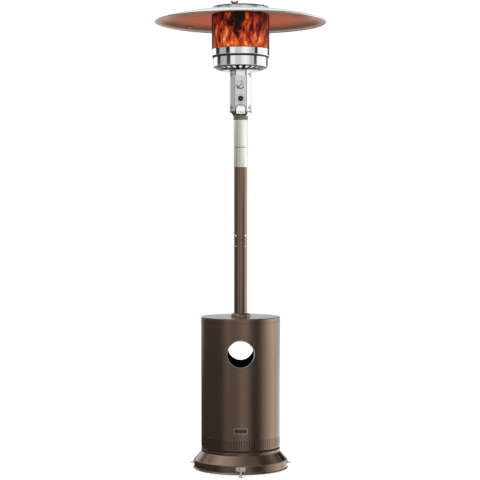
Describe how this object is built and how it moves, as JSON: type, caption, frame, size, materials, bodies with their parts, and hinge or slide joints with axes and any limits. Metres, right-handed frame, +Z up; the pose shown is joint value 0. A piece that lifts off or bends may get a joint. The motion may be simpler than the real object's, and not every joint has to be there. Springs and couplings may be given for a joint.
{
  "type": "gas patio heater",
  "caption": "Free-standing gas patio heater with a flared base, lift-up tank housing, tube post, mesh burner head and a wide shallow reflector.",
  "frame": {"origin": "on the post's axis at ground level, under the middle of the base", "axes": "+Z up along the post, -Y towards the user at the controls, +X to the user's right"},
  "size_m": [0.8104, 0.8104, 2.2005],
  "materials": {
    "bronze_paint": "satin",
    "stainless": "polished",
    "reflector_sheet": "satin",
    "inner_steel": "satin",
    "screen": "matte",
    "zinc": "satin",
    "chrome_trim": "polished",
    "brass": "satin",
    "black_plastic": "matte",
    "wheel_rubber": "matte",
    "plate_black": "gloss",
    "ceramic": "gloss"
  },
  "bodies": {
    "stand": {"base_pan": "bronze_paint", "water_reservoir": "black_plastic", "levelling_brackets": "zinc", "base_fasteners": "zinc", "floor_glides": "wheel_rubber", "wheel_bracket": "bronze_paint", "wheel_axle": "zinc", "support_legs": "inner_steel", "leg_bolts": "zinc", "post_bracket": "inner_steel", "post_lower": "bronze_paint", "post_middle": "bronze_paint", "post_screws": "zinc", "head_tube_lower": "stainless", "head_tube_upper": "stainless", "gas_inlet_fitting": "brass", "gas_feed_tube": "zinc", "taper_collar": "stainless", "control_box": "stainless", "front_panel": "stainless", "vent_hood": "stainless", "box_screws": "zinc", "gas_valve": "brass", "igniter_body": "black_plastic", "tilt_switch_case": "black_plastic", "main_gas_tube": "brass", "venturi_tube": "inner_steel", "main_burner": "inner_steel", "pilot_burner": "brass", "thermocouple": "inner_steel", "ignition_electrode": "ceramic", "vent_cone": "stainless", "lower_shroud": "stainless", "upper_shroud": "stainless", "emitter_screen": "screen", "screen_cap": "inner_steel", "reflector_panel_1": "reflector_sheet", "reflector_panel_2": "reflector_sheet", "reflector_panel_3": "reflector_sheet", "rim_clips": "zinc", "seam_screws": "zinc", "top_cap": "reflector_sheet", "reflector_studs": "zinc", "wing_nuts": "zinc"},
    "tank_housing": {"tank_housing": "bronze_paint", "housing_lid": "bronze_paint", "hand_hole_trims": "chrome_trim", "nameplate": "plate_black"},
    "valve_plug": {"valve_plug": "inner_steel"},
    "knob": {"valve_spindle": "zinc", "control_knob": "chrome_trim"},
    "igniter_button": {"igniter_button": "black_plastic"},
    "tilt_pendulum": {"tilt_pendulum": "brass"},
    "reservoir_cap": {"reservoir_cap": "black_plastic"},
    "foot_front": {"levelling_foot_front": "zinc"},
    "foot_rear": {"levelling_foot_rear": "zinc"},
    "wheel_left": {"wheel_left": "wheel_rubber"},
    "wheel_right": {"wheel_right": "wheel_rubber"}
  },
  "joints": [
    {"name": "housing_lift", "type": "slide", "parent": "stand", "child": "tank_housing", "axis": [0, 0, 1], "range_m": [0, 0.55]},
    {"name": "knob_turn", "type": "hinge", "parent": "stand", "child": "valve_plug", "pos_m": [0, -0.02, 1.814], "axis": [0, -1, 0], "range_deg": [0, 180]},
    {"name": "knob_push", "type": "slide", "parent": "valve_plug", "child": "knob", "axis": [0, 1, 0], "range_m": [0, 0.004], "stiffness_N_per_m": 900, "springref_m": -0.003},
    {"name": "igniter_press", "type": "slide", "parent": "stand", "child": "igniter_button", "axis": [0, 1, 0], "range_m": [0, 0.006], "stiffness_N_per_m": 1200, "springref_m": -0.002},
    {"name": "tilt_swing", "type": "hinge", "parent": "stand", "child": "tilt_pendulum", "pos_m": [0.033, 0.023, 1.741], "axis": [0, 1, 0], "range_deg": [-15, 15]},
    {"name": "cap_turn", "type": "hinge", "parent": "stand", "child": "reservoir_cap", "pos_m": [0.118, -0.062, 0.1], "axis": [0, 0, 1], "range_deg": [0, 90]},
    {"name": "foot_front_extend", "type": "slide", "parent": "stand", "child": "foot_front", "axis": [0, 0, -1], "range_m": [0, 0.012]},
    {"name": "foot_rear_extend", "type": "slide", "parent": "stand", "child": "foot_rear", "axis": [0, 0, -1], "range_m": [0, 0.012]},
    {"name": "wheel_left_spin", "type": "hinge", "parent": "stand", "child": "wheel_left", "pos_m": [-0.0645, 0.258, 0.033], "axis": [1, 0, 0], "continuous": true},
    {"name": "wheel_right_spin", "type": "hinge", "parent": "stand", "child": "wheel_right", "pos_m": [0.0645, 0.258, 0.033], "axis": [1, 0, 0], "continuous": true}
  ]
}
